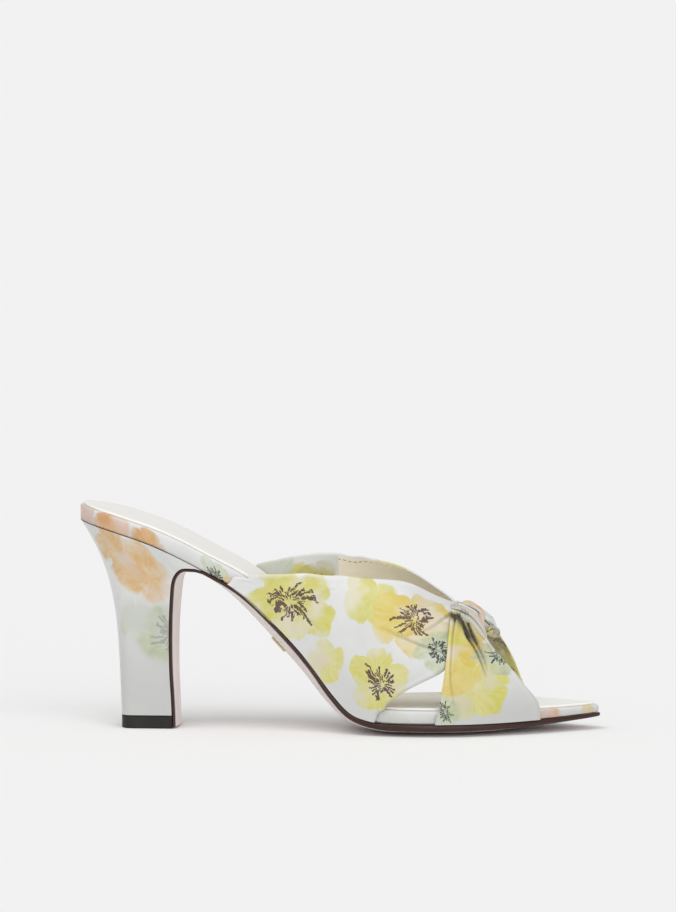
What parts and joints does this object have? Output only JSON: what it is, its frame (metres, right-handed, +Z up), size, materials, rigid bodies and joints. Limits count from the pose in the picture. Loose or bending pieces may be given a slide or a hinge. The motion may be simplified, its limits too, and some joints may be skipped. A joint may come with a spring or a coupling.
{
  "type": "block heel mule sandal",
  "caption": "High-heeled open-toed mule for the right foot: crossed, knotted printed satin straps on a wrapped footbed, leather sole and covered block heel.",
  "frame": {"origin": "centre of the heel's tread face, on the floor", "axes": "+X to the toe, +Y to the inner side of the foot, +Z up"},
  "size_m": [0.2275, 0.0797, 0.0989],
  "materials": {
    "strap_satin": "printed satin",
    "footbed_satin": "printed satin",
    "heel_satin": "printed satin",
    "sock_leather": "smooth",
    "sole_leather": "smooth, dark edge",
    "top_rubber": "matte",
    "gilt_plate": "polished"
  },
  "bodies": {
    "root": {"upper": "strap_satin", "sock": "sock_leather", "footbed": "footbed_satin", "outsole": "sole_leather", "heel": "heel_satin", "top_piece": "top_rubber", "sole_plate": "gilt_plate"}
  },
  "joints": []
}
